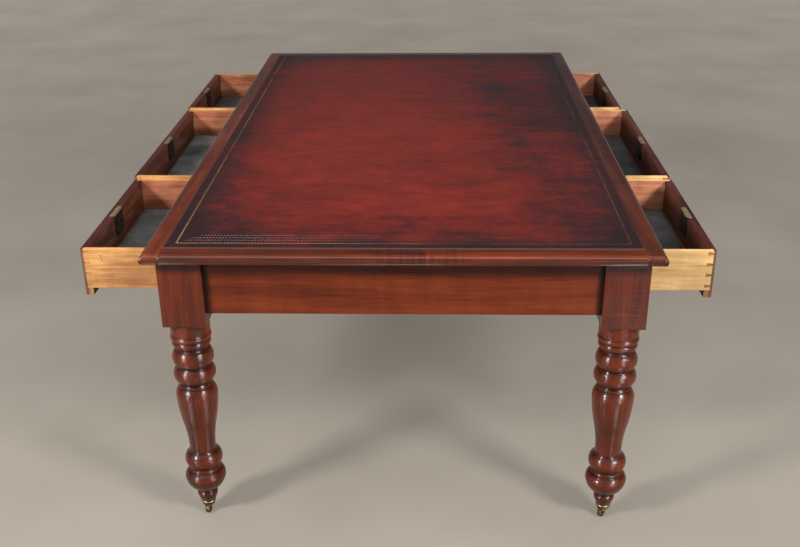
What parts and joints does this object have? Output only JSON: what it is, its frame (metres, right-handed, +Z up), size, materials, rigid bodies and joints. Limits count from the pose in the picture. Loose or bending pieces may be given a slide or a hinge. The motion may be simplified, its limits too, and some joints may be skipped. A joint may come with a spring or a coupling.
{
  "type": "partners desk",
  "caption": "Partners writing desk with a moulded mahogany top, inset leather surface, turned legs on brass castors, and drawers opening on both long sides.",
  "frame": {"origin": "on the floor, straight under the middle of the top", "axes": "+Z up, +Y along the desk's length, from the near end to the far end, +X across it, out through the right-hand drawers"},
  "size_m": [1.644, 2.11, 0.787],
  "materials": {
    "mahogany": "french polished",
    "pine": "bare, aged",
    "leather": "waxed, gold tooled",
    "brass": "aged",
    "lock_iron": "dark"
  },
  "bodies": {
    "desk": {"top_ground_board": "mahogany", "writing_leather": "leather", "top_border_left": "mahogany", "top_border_right": "mahogany", "top_border_near": "mahogany", "top_border_far": "mahogany", "leg_left_near": "mahogany", "leg_right_near": "mahogany", "leg_left_far": "mahogany", "leg_right_far": "mahogany", "castor_cups": "brass", "end_apron_near": "mahogany", "end_apron_far": "mahogany", "drawer_rails": "mahogany", "inner_frame": "pine", "runners_and_kickers": "pine"},
    "drawer_left_near": {"drawer_front_left_near": "mahogany", "drawer_box_left_near": "pine", "drawer_bottom_left_near": "pine", "lock_left_near": "lock_iron", "pulls_left_near": "mahogany"},
    "lock_bolt_left_near": {"bolt_left_near": "lock_iron"},
    "drawer_left_middle": {"drawer_front_left_middle": "mahogany", "drawer_box_left_middle": "pine", "drawer_bottom_left_middle": "pine", "lock_left_middle": "lock_iron", "pulls_left_middle": "mahogany"},
    "lock_bolt_left_middle": {"bolt_left_middle": "lock_iron"},
    "drawer_left_far": {"drawer_front_left_far": "mahogany", "drawer_box_left_far": "pine", "drawer_bottom_left_far": "pine", "lock_left_far": "lock_iron", "pulls_left_far": "mahogany"},
    "lock_bolt_left_far": {"bolt_left_far": "lock_iron"},
    "drawer_right_near": {"drawer_front_right_near": "mahogany", "drawer_box_right_near": "pine", "drawer_bottom_right_near": "pine", "lock_right_near": "lock_iron", "pulls_right_near": "mahogany"},
    "lock_bolt_right_near": {"bolt_right_near": "lock_iron"},
    "drawer_right_middle": {"drawer_front_right_middle": "mahogany", "drawer_box_right_middle": "pine", "drawer_bottom_right_middle": "pine", "lock_right_middle": "lock_iron", "pulls_right_middle": "mahogany"},
    "lock_bolt_right_middle": {"bolt_right_middle": "lock_iron"},
    "drawer_right_far": {"drawer_front_right_far": "mahogany", "drawer_box_right_far": "pine", "drawer_bottom_right_far": "pine", "lock_right_far": "lock_iron", "pulls_right_far": "mahogany"},
    "lock_bolt_right_far": {"bolt_right_far": "lock_iron"},
    "castor_swivel_left_near": {"castor_fork_left_near": "brass"},
    "castor_roller_left_near": {"castor_wheel_left_near": "brass"},
    "castor_swivel_right_near": {"castor_fork_right_near": "brass"},
    "castor_roller_right_near": {"castor_wheel_right_near": "brass"},
    "castor_swivel_left_far": {"castor_fork_left_far": "brass"},
    "castor_roller_left_far": {"castor_wheel_left_far": "brass"},
    "castor_swivel_right_far": {"castor_fork_right_far": "brass"},
    "castor_roller_right_far": {"castor_wheel_right_far": "brass"}
  },
  "joints": [
    {"name": "drawer_slide_left_near", "type": "slide", "parent": "desk", "child": "drawer_left_near", "axis": [-1, 0, 0], "range_m": [-0.235, 0.125]},
    {"name": "lock_bolt_slide_left_near", "type": "slide", "parent": "drawer_left_near", "child": "lock_bolt_left_near", "axis": [0, 0, 1], "range_m": [0, 0.008]},
    {"name": "drawer_slide_left_middle", "type": "slide", "parent": "desk", "child": "drawer_left_middle", "axis": [-1, 0, 0], "range_m": [-0.244, 0.116]},
    {"name": "lock_bolt_slide_left_middle", "type": "slide", "parent": "drawer_left_middle", "child": "lock_bolt_left_middle", "axis": [0, 0, 1], "range_m": [0, 0.008]},
    {"name": "drawer_slide_left_far", "type": "slide", "parent": "desk", "child": "drawer_left_far", "axis": [-1, 0, 0], "range_m": [-0.248, 0.112]},
    {"name": "lock_bolt_slide_left_far", "type": "slide", "parent": "drawer_left_far", "child": "lock_bolt_left_far", "axis": [0, 0, 1], "range_m": [0, 0.008]},
    {"name": "drawer_slide_right_near", "type": "slide", "parent": "desk", "child": "drawer_right_near", "axis": [1, 0, 0], "range_m": [-0.196, 0.164]},
    {"name": "lock_bolt_slide_right_near", "type": "slide", "parent": "drawer_right_near", "child": "lock_bolt_right_near", "axis": [0, 0, 1], "range_m": [0, 0.008]},
    {"name": "drawer_slide_right_middle", "type": "slide", "parent": "desk", "child": "drawer_right_middle", "axis": [1, 0, 0], "range_m": [-0.196, 0.164]},
    {"name": "lock_bolt_slide_right_middle", "type": "slide", "parent": "drawer_right_middle", "child": "lock_bolt_right_middle", "axis": [0, 0, 1], "range_m": [0, 0.008]},
    {"name": "drawer_slide_right_far", "type": "slide", "parent": "desk", "child": "drawer_right_far", "axis": [1, 0, 0], "range_m": [-0.178, 0.182]},
    {"name": "lock_bolt_slide_right_far", "type": "slide", "parent": "drawer_right_far", "child": "lock_bolt_right_far", "axis": [0, 0, 1], "range_m": [0, 0.008]},
    {"name": "castor_swivel_left_near", "type": "hinge", "parent": "desk", "child": "castor_swivel_left_near", "pos_m": [-0.528, -0.968, 0.0267], "axis": [0, 0, 1], "continuous": true},
    {"name": "castor_roll_left_near", "type": "hinge", "parent": "castor_swivel_left_near", "child": "castor_roller_left_near", "pos_m": [-0.528, -0.978, 0.0116], "axis": [1, 0, 0], "continuous": true},
    {"name": "castor_swivel_right_near", "type": "hinge", "parent": "desk", "child": "castor_swivel_right_near", "pos_m": [0.528, -0.968, 0.0267], "axis": [0, 0, 1], "continuous": true},
    {"name": "castor_roll_right_near", "type": "hinge", "parent": "castor_swivel_right_near", "child": "castor_roller_right_near", "pos_m": [0.5227, -0.97648, 0.0116], "axis": [0.848, -0.5299, 0], "continuous": true},
    {"name": "castor_swivel_left_far", "type": "hinge", "parent": "desk", "child": "castor_swivel_left_far", "pos_m": [-0.528, 0.968, 0.0267], "axis": [0, 0, 1], "continuous": true},
    {"name": "castor_roll_left_far", "type": "hinge", "parent": "castor_swivel_left_far", "child": "castor_roller_left_far", "pos_m": [-0.52393, 0.95886, 0.0116], "axis": [0.9135, 0.4067, 0], "continuous": true},
    {"name": "castor_swivel_right_far", "type": "hinge", "parent": "desk", "child": "castor_swivel_right_far", "pos_m": [0.528, 0.968, 0.0267], "axis": [0, 0, 1], "continuous": true},
    {"name": "castor_roll_right_far", "type": "hinge", "parent": "castor_swivel_right_far", "child": "castor_roller_right_far", "pos_m": [0.53456, 0.96045, 0.0116], "axis": [0.7547, 0.6561, 0], "continuous": true}
  ]
}
